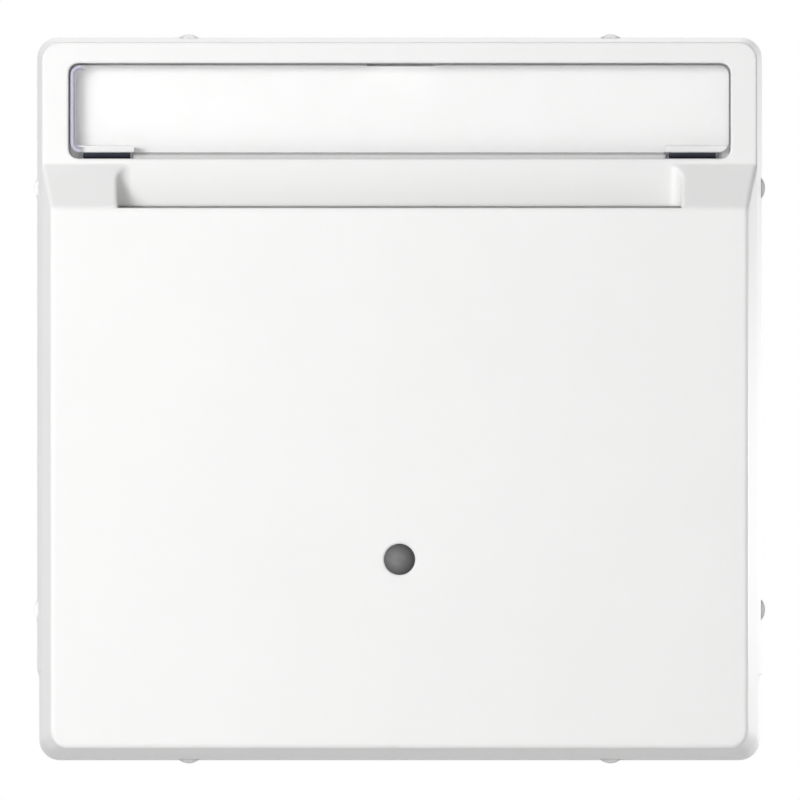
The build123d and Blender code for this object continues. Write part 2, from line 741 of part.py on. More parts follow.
screw_places = [
    (ring_screw_side, 0), (-ring_screw_side, 0), (0, ring_screw_end), (0, -ring_screw_end),
]
with BuildPart() as ring_screws:
    for x, z in screw_places:
        rod(x, z, ring_thickness, ring_thickness + ring_screw_head_height, ring_screw_head)
        rod(x, z, ring_thickness - ring_screw_length, ring_thickness, ring_screw_radius)
        slab(x - ring_screw_head, x + ring_screw_head, z - driver_slot_width / 2,
             z + driver_slot_width / 2,
             ring_thickness + ring_screw_head_height - driver_slot_depth,
             ring_thickness + ring_screw_head_height + overrun, Mode.SUBTRACT)

# Housing lid: the front of the insert's box, with a boss that fills the ring's opening
with BuildPart() as housing_lid:
    with BuildSketch(front(-lid_thickness)):
        Rectangle(housing_width, housing_height)
        chamfer(vertices(), housing_corner_cut)
    extrude(amount=lid_thickness)
    slab(-lid_half_width, lid_half_width, -lid_half_height, lid_half_height, 0, ring_thickness)
    slab(-button_width / 2 - play, button_width / 2 + play, -button_height / 2 - play,
         button_height / 2 + play, -lid_thickness - overrun, ring_thickness + overrun,
         Mode.SUBTRACT)
    rod(0, lens_z, -lid_thickness - overrun, ring_thickness + overrun, lens_radius + play,
        Mode.SUBTRACT)
    for x, z in screw_places:
        rod(x, z, -lid_thickness - overrun, overrun, ring_screw_radius + ring_screw_gap,
            Mode.SUBTRACT)

# Housing base: the moulded box that holds the switch and its terminals
inner_x = housing_width / 2 - housing_wall
inner_z = housing_height / 2 - housing_wall
wire_x = (release_high_x + terminal_x) / 2 - play
finger_x = clamp_root_x + clamp_bend_width + play + clamp_thickness / 2
leg_slope = (clamp_bend_depth - clamp_tip_depth) / (terminal_x - clamp_root_x - clamp_bend_width)
with BuildPart() as housing_base:
    with BuildSketch(front(-housing_depth)):
        Rectangle(housing_width, housing_height)
        chamfer(vertices(), housing_corner_cut)
    extrude(amount=housing_depth - lid_thickness)
    with BuildSketch(front(-housing_floor)):
        Rectangle(2 * inner_x, 2 * inner_z)
        chamfer(vertices(), housing_corner_cut - housing_wall / 2)
    extrude(amount=housing_floor - lid_thickness, mode=Mode.SUBTRACT)
    slab(-inner_x, inner_x, -bridge_half, bridge_half, -bridge_face - bridge_thickness,
         -bridge_face)
    for x, z in screw_places:
        rod(x, z, -post_depth, -lid_thickness, post_radius)
    for sign in (-1, 1):
        ends = sorted((sign * (post_radius + ring_screw_side), sign * inner_x))
        slab(ends[0] - seat_gap, ends[1] + seat_gap, -post_radius, post_radius,
             -post_depth, -lid_thickness)
        ends = sorted((sign * ring_screw_end, sign * inner_z))
        slab(-post_radius, post_radius, ends[0], ends[1], -post_depth, -lid_thickness)
    for x, z in screw_places:
        rod(x, z, ring_thickness - ring_screw_length - play, -lid_thickness + overrun,
            ring_screw_radius + seat_gap, Mode.SUBTRACT)
    rod(0, 0, -bridge_face - bridge_thickness - overrun, -bridge_face + overrun,
        stem_radius + play, Mode.SUBTRACT)
    # seat of the contact spring
    rod(0, 0, -housing_floor, -housing_floor + spring_pip_height, spring_pip_radius)
    for side in (-1, 1):
        wall_x = sorted((side * (clamp_root_x - clamp_thickness / 2 - seat_gap),
                         side * (clamp_root_x - clamp_thickness / 2 - seat_gap - clamp_wall)))
        release_x = sorted((side * (release_low_x - play), side * (release_high_x + play)))
        bar_x = sorted((side * (terminal_x + strip_thickness + seat_gap), side * inner_x))
        slab(release_x[0], release_x[1], -release_half - play, release_half + play,
             -housing_depth - overrun, -housing_floor + overrun, Mode.SUBTRACT)
        for sign in (-1, 1):
            z = sign * terminal_z
            slab(wall_x[0], wall_x[1], z - clamp_half - play, z + clamp_half + play,
                 -housing_floor, -clamp_front + play)
            slab(bar_x[0], bar_x[1], z - bar_half / 2, z + bar_half / 2,
                 -housing_floor, -clamp_front)
            for apart in (-wire_hole_offset, wire_hole_offset):
                rod(side * wire_x, z + apart, -housing_depth - overrun, -housing_floor + overrun,
                    wire_hole_radius, Mode.SUBTRACT)

# Push button with its stem, and the spring round the stem
spring_front = -lid_thickness - seat_gap - button_flange_height
with BuildPart() as push_button:
    with BuildSketch(front(-lid_thickness - seat_gap)):
        Rectangle(button_width, button_height)
    extrude(amount=button_front + lid_thickness + seat_gap)
    fillet(faces().sort_by(Axis.Y)[0].edges(), button_edge)
    slab(-button_width / 2 - button_flange, button_width / 2 + button_flange,
         -button_height / 2 - button_flange, button_height / 2 + button_flange,
         spring_front, -lid_thickness - seat_gap)
    rod(0, 0, -stem_end + stem_radius / 2, spring_front, stem_radius)
    with BuildSketch(front(-stem_end + stem_radius / 2)):
        Circle(stem_radius)
    extrude(amount=-stem_radius / 2, taper=30)


def compression_spring(name, x, z, near, far, radius, wire, turns):
    """An open coil square to the wall, between two depths behind it, and its path's points."""
    pitch = (far - near - wire) / turns
    rows = coil_points(Vector(x, near + wire / 2, z), Vector(1, 0, 0), Vector(0, 0, 1),
                       Vector(0, 1, 0), radius, pitch, 0, turns)
    coil_gap(name, rows, wire, radius, pitch)
    return rows


button_rows = compression_spring(
    "button_spring", 0, 0, -spring_front + seat_gap, bridge_face - seat_gap,
    button_spring_coil, button_spring_wire, button_spring_turns)
with BuildPart() as button_spring:
    with BuildLine() as button_spring_path:
        coil_arcs(button_rows)
    with BuildSketch(Plane(origin=button_spring_path.line @ 0, z_dir=button_spring_path.line % 0)):
        Circle(button_spring_wire / 2)
    sweep(path=button_spring_path.line)

contact_rows = compression_spring(
    "contact_spring", 0, 0, arm_rear + seat_gap, housing_floor - spring_pip_height - seat_gap,
    contact_spring_coil, contact_spring_wire, contact_spring_turns)
with BuildPart() as contact_spring:
    with BuildLine() as contact_spring_path:
        coil_arcs(contact_rows)
    with BuildSketch(Plane(origin=contact_spring_path.line @ 0,
                           z_dir=contact_spring_path.line % 0)):
        Circle(contact_spring_wire / 2)
    sweep(path=contact_spring_path.line)

# Moving contact: an arm on a pin, with a rivet that meets a contact on either side
contact_pivot_z = -lever_arm
with BuildPart() as contact_arm:
    axle(-contact_arm_half, contact_arm_half, -contact_pivot_depth, contact_pivot_z, contact_eye)
    slab(-contact_arm_half, contact_arm_half, contact_pivot_z, contact_place + contact_end,
         -arm_rear, -arm_front)
    rod(0, contact_place, -arm_rear - rivet_height, -arm_front + rivet_height, rivet_radius)
    axle(-contact_arm_half - overrun, contact_arm_half + overrun, -contact_pivot_depth,
         contact_pivot_z, contact_pin_radius + pivot_gap, Mode.SUBTRACT)

# Fixed contacts and terminals: copper strips that run out to the bars the wires are clamped on
bar_outer = terminal_x + strip_thickness
rest_face = arm_front - rivet_height - contact_rest_gap
contact_lift = (contact_place - contact_pivot_z + rivet_radius) * math.sin(
    math.radians(card_lever_turn))
made_face = arm_rear + rivet_height + contact_lift + contact_rest_gap
with BuildPart() as common_terminal:
    slab(-bar_outer, -terminal_x, -terminal_z - bar_half, -terminal_z + bar_half,
         -bar_rear, -bar_front)
    plate = contact_pivot_depth + bracket_drop
    bracket = contact_arm_half + bracket_gap
    slab(-bar_outer, bracket + contact_bracket, contact_pivot_z - contact_eye,
         contact_pivot_z + contact_eye, -plate - strip_thickness, -plate)
    for x in (-bracket - contact_bracket, bracket):
        slab(x, x + contact_bracket, contact_pivot_z - contact_eye, contact_pivot_z + contact_eye,
             -plate, -contact_pivot_depth + contact_eye)
    axle(-bracket - contact_bracket, bracket + contact_bracket, -contact_pivot_depth,
         contact_pivot_z, contact_pin_radius)

with BuildPart() as rest_terminal:
    slab(-bar_outer, -terminal_x, terminal_z - bar_half, terminal_z + bar_half,
         -bar_rear, -bar_front)
    rest_strip = rest_face - contact_pad_height
    slab(-bar_outer, rivet_radius, contact_place - strip_half, contact_place + strip_half,
         -rest_strip, -rest_strip + strip_thickness)
    slab(-bar_outer, -bar_outer + feed_width, contact_place - strip_half, terminal_z,
         -rest_strip, -rest_strip + strip_thickness)
    rod(0, contact_place, -rest_face, -rest_strip, rivet_radius)

with BuildPart() as switched_terminal:
    slab(terminal_x, bar_outer, terminal_z - bar_half, terminal_z + bar_half,
         -bar_rear, -board_front - board_thickness)
    made_strip = made_face + contact_pad_height
    slab(-rivet_radius, bar_outer, contact_place - strip_half, contact_place + strip_half,
         -made_strip - strip_thickness, -made_strip)
    slab(bar_outer - feed_width, bar_outer, contact_place - strip_half, terminal_z,
         -made_strip - strip_thickness, -made_strip)
    rod(0, contact_place, -made_strip, -made_face, rivet_radius)
    # lead to the lamp board
    lead_rear = board_front + board_thickness + strip_thickness
    lead_z = board_top - lamp_lead_height
    slab(lamp_lead_x, bar_outer, terminal_z - bar_half, terminal_z - bar_half + lamp_lead_width,
         -lead_rear, -board_front - board_thickness)
    slab(lamp_lead_x, lamp_lead_x + lamp_lead_width, lead_z,
         terminal_z - bar_half + lamp_lead_width, -lead_rear, -board_front - board_thickness)
    slab(board_half - strip_half, lamp_lead_x + lamp_lead_width, lead_z, lead_z + lamp_lead_height,
         -lead_rear, -board_front - board_thickness)

with BuildPart() as neutral_terminal:
    slab(terminal_x, bar_outer, -terminal_z - bar_half, -terminal_z + bar_half,
         -bar_rear, -board_front - board_thickness)
    slab(board_half - strip_half, bar_outer, board_foot, board_foot + feed_width,
         -lead_rear, -board_front - board_thickness)


def clamp_pair(side):
    """The two wire clamps of one side: a root leaf, a bend, and a leaf that leans on the bar."""
    with BuildPart() as clamps:
        for sign in (-1, 1):
            with BuildSketch(Plane.XY.offset(sign * terminal_z - clamp_half)):
                with BuildLine():
                    leaf = FilletPolyline(
                        (side * clamp_root_x, clamp_front),
                        (side * clamp_root_x, clamp_bend_depth),
                        (side * (clamp_root_x + clamp_bend_width), clamp_bend_depth),
                        (side * (terminal_x - clamp_thickness), clamp_tip_depth),
                        radius=clamp_bend_radius)
                    offset(leaf, amount=clamp_thickness / 2, side=Side.BOTH)
                make_face()
            extrude(amount=2 * clamp_half)
    return clamps.part


clamp_springs_left = clamp_pair(-1)
clamp_springs_right = clamp_pair(1)


def release_slide(side):
    """A slide in the rear wall that opens both clamps of its side when it is pressed in."""
    bar_rear_face = housing_floor - release_shoulder
    bar_front_face = bar_rear_face - release_bar
    finger_end = clamp_bend_depth - (finger_x - clamp_root_x - clamp_bend_width) * leg_slope
    finger_end = finger_end + clamp_thickness + play
    with BuildPart() as slide:
        ends = sorted((side * release_low_x, side * release_high_x))
        slab(ends[0], ends[1], -release_half, release_half, -housing_depth - release_proud,
             -bar_rear_face)
        slab(ends[0] - release_shoulder, ends[1] + release_shoulder,
             -release_half - release_shoulder - play, release_half + release_shoulder + play,
             -bar_rear_face, -bar_front_face)
        ends = sorted((side * finger_x, side * (finger_x + release_finger_width)))
        slab(ends[0], ends[1], -terminal_z - release_finger_half,
             terminal_z + release_finger_half, -bar_rear_face, -bar_front_face)
        for z in (-terminal_z, terminal_z):
            slab(ends[0], ends[1], z - release_finger_half, z + release_finger_half,
                 -bar_front_face, -finger_end)
    return slide.part


release_slide_left = release_slide(-1)
release_slide_right = release_slide(1)

# Indicator lamp on its board
with BuildPart() as lamp_board:
    slab(-board_half, board_half, board_foot, board_top, -board_front - board_thickness,
         -board_front)

with BuildPart() as lamp:
    with BuildSketch(Plane.YZ):
        with BuildLine():
            shoulder = -lamp_top + lens_radius
            Polyline((shoulder, lens_z + lens_radius),
                     (board_front - lamp_foot_height, lens_z + lens_radius),
                     (board_front - lamp_foot_height, lens_z + lamp_foot_radius),
                     (board_front, lens_z + lamp_foot_radius), (board_front, lens_z),
                     (-lamp_top, lens_z))
            RadiusArc((-lamp_top, lens_z), (shoulder, lens_z + lens_radius), lens_radius)
        make_face()
    revolve(axis=Axis((0, 0, lens_z), (0, 1, 0)))


def claw(side):
    """A sheet claw: trunnions in the lugs, a web that the screw draws, and a toothed tip."""
    pivot = (side * claw_pivot_x, claw_pivot_depth)
    web_start = side * (claw_pivot_x + claw_web_start)
    web_end = side * (claw_pivot_x + claw_web_end)
    tip = side * (claw_pivot_x + claw_tip_x)
    half = claw_sheet / 2
    with BuildPart() as body:
        with BuildSketch(Plane.XY.offset(-claw_half)):
            with Locations(pivot):
                Circle(claw_boss)
            with BuildLine():
                leaf = FilletPolyline(pivot, (web_start, claw_web_depth),
                                      (web_end, claw_web_depth), (tip, claw_tip_depth),
                                      radius=claw_sheet)
                offset(leaf, amount=half, side=Side.BOTH)
            make_face()
        extrude(amount=2 * claw_half)
        with BuildSketch(Plane.XY.offset(-claw_half)):
            for share in tooth_shares:
                depth = claw_web_depth + (claw_tip_depth - claw_web_depth) * share
                edge = web_end + (tip - web_end) * share
                Polygon((edge, depth - claw_tooth), (edge, depth + claw_tooth),
                        (edge + side * (half + claw_tooth), depth - claw_tooth), align=None)
        extrude(amount=2 * claw_half)
        with BuildSketch(Plane.XY.offset(-claw_lug_low - lug_thickness)):
            with Locations(pivot):
                Circle(claw_trunnion)
        extrude(amount=2 * (claw_lug_low + lug_thickness))
        ends = sorted((side * (claw_screw_x - claw_screw_radius - claw_slot_inner),
                       side * (claw_screw_x + claw_screw_radius + claw_slot_outer)))
        slab(ends[0], ends[1], -claw_screw_radius - play, claw_screw_radius + play,
             -claw_tip_depth + claw_sheet, -claw_pivot_depth - claw_boss, Mode.SUBTRACT)
    return body.part


tooth_shares = (0.55, 0.95)
claw_left = claw(-1)
claw_right = claw(1)


def claw_screw(side):
    """A claw screw, its head on the ring's face."""
    with BuildPart() as screw:
        x = side * claw_screw_x
        rod(x, 0, ring_thickness, ring_thickness + claw_screw_head_height, claw_screw_head)
        fillet(faces().sort_by(Axis.Y)[0].edges(), driver_slot_depth)
        rod(x, 0, -claw_screw_end, ring_thickness, claw_screw_radius)
        for half_x, half_z in ((claw_screw_head / 2, driver_slot_width / 2),
                               (driver_slot_width / 2, claw_screw_head / 2)):
            slab(x - half_x, x + half_x, -half_z, half_z,
                 ring_thickness + claw_screw_head_height - 2 * driver_slot_depth,
                 ring_thickness + claw_screw_head_height + overrun, Mode.SUBTRACT)
    return screw.part


claw_screw_left = claw_screw(-1)
claw_screw_right = claw_screw(1)

pieces = {
    "front_cover": front_cover.part,
    "label_window": label_window.part,
    "label_insert": label_insert.part,
    "indicator_lens": indicator_lens.part,
    "light_pipe": light_pipe.part,
    "card_guide": card_guide.part,
    "guide_screws": guide_screws.part,
    "card_lever": card_lever.part,
    "lever_pin": lever_pin.part,
    "lever_spring": lever_spring.part,
    "support_ring": support_ring.part,
    "ring_screws": ring_screws.part,
    "housing_lid": housing_lid.part,
    "housing_base": housing_base.part,
    "push_button": push_button.part,
    "button_spring": button_spring.part,
    "contact_spring": contact_spring.part,
    "contact_arm": contact_arm.part,
    "common_terminal": common_terminal.part,
    "rest_terminal": rest_terminal.part,
    "switched_terminal": switched_terminal.part,
    "neutral_terminal": neutral_terminal.part,
    "clamp_springs_left": clamp_springs_left,
    "clamp_springs_right": clamp_springs_right,
    "release_slide_left": release_slide_left,
    "release_slide_right": release_slide_right,
    "lamp_board": lamp_board.part,
    "lamp": lamp.part,
    "claw_left": claw_left,
    "claw_right": claw_right,
    "claw_screw_left": claw_screw_left,
    "claw_screw_right": claw_screw_right,
}
os.makedirs("parts", exist_ok=True)
for name, piece in pieces.items():
    piece.label = name
    export_step(piece, f"parts/{name}.step")

print("card lever turns", round(card_lever_turn, 3), "degrees")
print("button travel", round(button_travel, 3), "mm")
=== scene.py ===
import math

import bpy
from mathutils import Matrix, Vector


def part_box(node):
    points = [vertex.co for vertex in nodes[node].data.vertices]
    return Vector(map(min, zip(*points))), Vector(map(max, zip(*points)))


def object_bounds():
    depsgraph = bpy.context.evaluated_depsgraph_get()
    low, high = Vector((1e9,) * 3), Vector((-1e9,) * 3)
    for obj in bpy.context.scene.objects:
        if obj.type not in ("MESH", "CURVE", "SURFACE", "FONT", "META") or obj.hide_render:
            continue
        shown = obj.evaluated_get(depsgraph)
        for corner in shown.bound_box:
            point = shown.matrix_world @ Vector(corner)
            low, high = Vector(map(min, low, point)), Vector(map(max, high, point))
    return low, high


# Hotel key card switch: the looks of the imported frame. Metres, in the frame's own axes:
# X to the right, Z up, the front faces -Y and the wall is the plane Y = 0.
MM = 0.001

# Sizes of the clear lid, as the part has them
LID_CORNER = 1.0 * MM         # its corner radius
HOOK_LENGTH = 1.31 * MM       # its two hooks reach this far below its foot
HOOK_INNER = 26.05 * MM       # they start this far from the middle
NOTCH_HALF = 3.2 * MM         # half the width of the notch in its upper edge

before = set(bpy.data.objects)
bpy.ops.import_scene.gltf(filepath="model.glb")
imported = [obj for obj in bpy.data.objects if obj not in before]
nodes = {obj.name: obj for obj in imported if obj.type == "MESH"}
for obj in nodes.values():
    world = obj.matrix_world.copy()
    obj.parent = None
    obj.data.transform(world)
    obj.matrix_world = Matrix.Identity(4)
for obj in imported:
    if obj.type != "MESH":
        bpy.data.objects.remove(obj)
rest_low, rest_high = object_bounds()


# Node helpers
def new_material(name):
    """A material with an empty tree, its output and its shader."""
    material = bpy.data.materials.new(name)
    material.use_nodes = True
    tree = material.node_tree
    tree.nodes.clear()
    output = tree.nodes.new("ShaderNodeOutputMaterial")
    shader = tree.nodes.new("ShaderNodeBsdfPrincipled")
    tree.links.new(shader.outputs["BSDF"], output.inputs["Surface"])
    return material, tree, shader


def place_of(tree, stretch=(1, 1, 1)):
    """The object's own coordinates, stretched."""
    place = tree.nodes.new("ShaderNodeTexCoord")
    mapping = tree.nodes.new("ShaderNodeMapping")
    mapping.inputs["Scale"].default_value = stretch
    tree.links.new(place.outputs["Object"], mapping.inputs["Vector"])
    return mapping.outputs["Vector"]


def noise(tree, place, size, detail=3.0, roughness=0.5):
    """Noise whose blobs measure about size, in metres."""
    texture = tree.nodes.new("ShaderNodeTexNoise")
    texture.inputs["Scale"].default_value = 1 / size
    texture.inputs["Detail"].default_value = detail
    texture.inputs["Roughness"].default_value = roughness
    tree.links.new(place, texture.inputs["Vector"])
    return texture.outputs["Fac"]


def spread(tree, value, low, high, source=(0.3, 0.7)):
    """The value mapped from its source range, by default that of noise, to low and high."""
    mapped = tree.nodes.new("ShaderNodeMapRange")
    mapped.inputs["From Min"].default_value = source[0]
    mapped.inputs["From Max"].default_value = source[1]
    mapped.inputs["To Min"].default_value = low
    mapped.inputs["To Max"].default_value = high
    tree.links.new(value, mapped.inputs["Value"])
    return mapped.outputs["Result"]


def maths(tree, operation, first, second=None):
    """One step of arithmetic on sockets or numbers."""
    step = tree.nodes.new("ShaderNodeMath")
    step.operation = operation
    for index, value in enumerate((first, second)):
        if isinstance(value, bpy.types.NodeSocket):
            tree.links.new(value, step.inputs[index])
        elif value is not None:
            step.inputs[index].default_value = value
    return step.outputs[0]


def rising(tree, value, start, band):
    """0 below a band that begins and ends at the given distances from start, and 1 above it."""
    return spread(tree, value, 0, 1, source=(start + band[0], start + band[1]))


def falling(tree, value, start, band):
    """1 below such a band, and 0 above it."""
    return spread(tree, value, 1, 0, source=(start + band[0], start + band[1]))


def axes_of(tree):
    """The object's own X, Y and Z as three sockets."""
    place = tree.nodes.new("ShaderNodeTexCoord")
    apart = tree.nodes.new("ShaderNodeSeparateXYZ")
    tree.links.new(place.outputs["Object"], apart.inputs["Vector"])
    return apart.outputs["X"], apart.outputs["Y"], apart.outputs["Z"]


def blend_colours(tree, factor, first, second):
    """One colour turning into another. Either may be a socket."""
    mix = tree.nodes.new("ShaderNodeMix")
    mix.data_type = "RGBA"
    tree.links.new(factor, mix.inputs["Factor"])
    for name, colour in (("A", first), ("B", second)):
        socket = next(s for s in mix.inputs if s.name == name and s.type == "RGBA")
        if isinstance(colour, bpy.types.NodeSocket):
            tree.links.new(colour, socket)
        else:
            socket.default_value = (*colour, 1)
    return next(s for s in mix.outputs if s.type == "RGBA")


def relief(tree, shader, height, depth, strength, edge=0.0):
    """Bump of that depth, over edges that look softened by the radius edge."""
    bump = tree.nodes.new("ShaderNodeBump")
    bump.inputs["Strength"].default_value = strength
    bump.inputs["Distance"].default_value = depth
    tree.links.new(height, bump.inputs["Height"])
    if edge:
        bevel = tree.nodes.new("ShaderNodeBevel")
        bevel.samples = BEVEL_SAMPLES
        bevel.inputs["Radius"].default_value = edge
        tree.links.new(bevel.outputs["Normal"], bump.inputs["Normal"])
    tree.links.new(bump.outputs["Normal"], shader.inputs["Normal"])


# Materials
BEVEL_SAMPLES = 6
CLOUD_SIZE = 14 * MM          # faint clouds in moulded plastic
CLOUD_SHADE = 0.985           # their colour, as a share of the plain one
GRAIN_STRENGTH = 0.35
PLASTIC_ROUGHNESS = (0.86, 1.14)    # from the gloss of the grain to its matt, as shares
PLASTIC_EDGE = 0.12 * MM

STREAK_SIZE = 1 * MM          # streaks in drawn or plated metal
BLOTCH_SIZE = 3.5 * MM
BLOTCH_SHADE = 0.84
METAL_ROUGHNESS = (0.75, 1.3)
METAL_RELIEF = 0.01 * MM
SMALL_EDGE = 0.08 * MM


def moulded(name, colour, rough, grain, depth, edge=PLASTIC_EDGE):
    """Moulded plastic: a fine spark-eroded grain, with faint clouds in its colour."""
    material, tree, shader = new_material(name)
    place = place_of(tree)
    broad = noise(tree, place, CLOUD_SIZE)
    fine = noise(tree, place, grain, detail=2.0)
    darker = [channel * CLOUD_SHADE for channel in colour]
    tint = blend_colours(tree, spread(tree, broad, 0, 1), colour, darker)
    tree.links.new(tint, shader.inputs["Base Color"])
    gloss, matt = (rough * share for share in PLASTIC_ROUGHNESS)
    tree.links.new(spread(tree, fine, gloss, matt), shader.inputs["Roughness"])
    relief(tree, shader, fine, depth, GRAIN_STRENGTH, edge)
    return material


def metal(name, colour, rough, streak):
    """Plated or drawn metal: streaks along one way, and blotches in the plating."""
    material, tree, shader = new_material(name)
    lines = noise(tree, place_of(tree, streak), STREAK_SIZE, detail=4.0)
    blotch = noise(tree, place_of(tree), BLOTCH_SIZE, detail=4.0, roughness=0.6)
    darker = [channel * BLOTCH_SHADE for channel in colour]
    tint = blend_colours(tree, spread(tree, blotch, 0, 1), colour, darker)
    tree.links.new(tint, shader.inputs["Base Color"])
    gloss, matt = (rough * share for share in METAL_ROUGHNESS)
    tree.links.new(spread(tree, lines, gloss, matt), shader.inputs["Roughness"])
    shader.inputs["Metallic"].default_value = 1.0
    relief(tree, shader, lines, METAL_RELIEF, 0.3, SMALL_EDGE)
    return material


# Each plastic has its colour, its roughness, and the width and depth of its grain
COVER_EDGE = 0.42 * MM        # the cover's edges look this round
cover_plastic = moulded(
    "cover_plastic", (0.86, 0.86, 0.855), 0.42, 0.11 * MM, 0.006 * MM, edge=COVER_EDGE)
guide_plastic = moulded("guide_plastic", (0.80, 0.80, 0.79), 0.5, 0.14 * MM, 0.008 * MM)
lever_plastic = moulded("lever_plastic", (0.78, 0.77, 0.73), 0.36, 0.2 * MM, 0.005 * MM)
button_plastic = moulded("button_plastic", (0.86, 0.86, 0.84), 0.34, 0.2 * MM, 0.005 * MM)
housing_plastic = moulded("housing_plastic", (0.30, 0.31, 0.32), 0.48, 0.16 * MM, 0.010 * MM)
release_plastic = moulded("release_plastic", (0.80, 0.30, 0.06), 0.36, 0.2 * MM, 0.005 * MM)

# Each metal has its colour, its roughness, and the stretch that sets the way of its streaks
zinc_steel = metal("zinc_steel", (0.66, 0.68, 0.70), 0.33, (1, 1, 12))
spring_steel = metal("spring_steel", (0.58, 0.58, 0.57), 0.24, (6, 1, 1))
contact_brass = metal("contact_brass", (0.80, 0.58, 0.26), 0.28, (1, 1, 9))

PAPER = (0.985, 0.985, 0.98)
PAPER_CLOUD = (0.97, 0.97, 0.962)
PAPER_CLOUD_SIZE = 5 * MM
FIBRE_SIZE = 0.35 * MM
FIBRE_RELIEF = 0.01 * MM
FIBRE_ROUGHNESS = (0.72, 0.9)
PAPER_SPECULAR = 0.25


def paper(name):
    """Uncoated card: faint fibres, matt."""
    material, tree, shader = new_material(name)
    fibres = noise(tree, place_of(tree, (1, 1, 5)), FIBRE_SIZE, detail=5.0, roughness=0.7)
    cloud = noise(tree, place_of(tree), PAPER_CLOUD_SIZE)
    tint = blend_colours(tree, spread(tree, cloud, 0, 1), PAPER, PAPER_CLOUD)
    tree.links.new(tint, shader.inputs["Base Color"])
    tree.links.new(spread(tree, fibres, *FIBRE_ROUGHNESS), shader.inputs["Roughness"])
    shader.inputs["Specular IOR Level"].default_value = PAPER_SPECULAR
    relief(tree, shader, fibres, FIBRE_RELIEF, 0.3)
    return material


# The clear lid's colours, most of them painted light and shade, and how solid its plate and its
# rim look
PLATE_TINT = (0.98, 0.98, 1.0)
# the left rim's painted highlight and painted violet refraction, and the outline's painted
# shade
RIM_PAINTED_HIGHLIGHT = (0.80, 0.79, 0.95)
RIM_PAINTED_REFRACTION = (0.40, 0.38, 0.52)
OUTLINE_PAINTED_SHADE = (0.10, 0.10, 0.11)
HOOK_ROOT = (0.95, 0.95, 0.95)
# painted shade of the hooks' dark slots, darkest at their tips
HOOK_TIP_PAINTED_SHADE = (0.001, 0.001, 0.003)
HOOK_HEAD_PAINTED_SHADE = (0.10, 0.11, 0.15)
# painted shade: the grey of a strip above the hooks
FOOT_STRIP_PAINTED_SHADE = (0.775, 0.775, 0.775)
# painted shadow: the dark line at the notch
NOTCH_PAINTED_SHADOW = (0.02, 0.02, 0.021)
PLATE_VEIL = 0.02
RIM_VEIL = 0.55
LID_GLOSS = (0.05, 0.16)
LID_SPECULAR = 0.2
SCUFF_SIZE = 1.2 * MM
SCUFF_RELIEF = 0.004 * MM

# Where they turn into each other. Distances inside the lid's outline:
OUTLINE_BAND = (0.02 * MM, 0.06 * MM)
PAINTED_HIGHLIGHT_BAND = (0.28 * MM, 0.36 * MM)
PAINTED_REFRACTION_BAND = (0.48 * MM, 0.62 * MM)
# from its left side, its upper edge, and its foot, which is above its hooks:
LEFT_BAND = (0.9 * MM, 1.6 * MM)
UPPER_BAND = (-0.08 * MM, -0.03 * MM)
ABOVE_FOOT_BAND = (0.15 * MM, 0.55 * MM)
UNDERSIDE_BAND = (0.004 * MM, 0.02 * MM)
BELOW_FOOT_BAND = (-0.04 * MM, -0.01 * MM)
STRIP_FOOT_BAND = (-0.01 * MM, 0.01 * MM)
STRIP_TOP_BAND = (0.62 * MM, 0.70 * MM)
# from its rear face, the hooks' lower ends and their inner sides:
BEHIND_BAND = (-0.34 * MM, -0.32 * MM)
HOOK_SHADE_HEIGHT = 0.75 * MM
STRIP_SIDE_BAND = (-0.05 * MM, 0.0)
# and from the notch's side, the lid's upper edge and its front:
NOTCH_SIDE_BAND = (0.0, 0.05 * MM)
NOTCH_FOOT_BAND = (-0.16 * MM, -0.12 * MM)
NOTCH_FRONT_BAND = (0.12 * MM, 0.18 * MM)


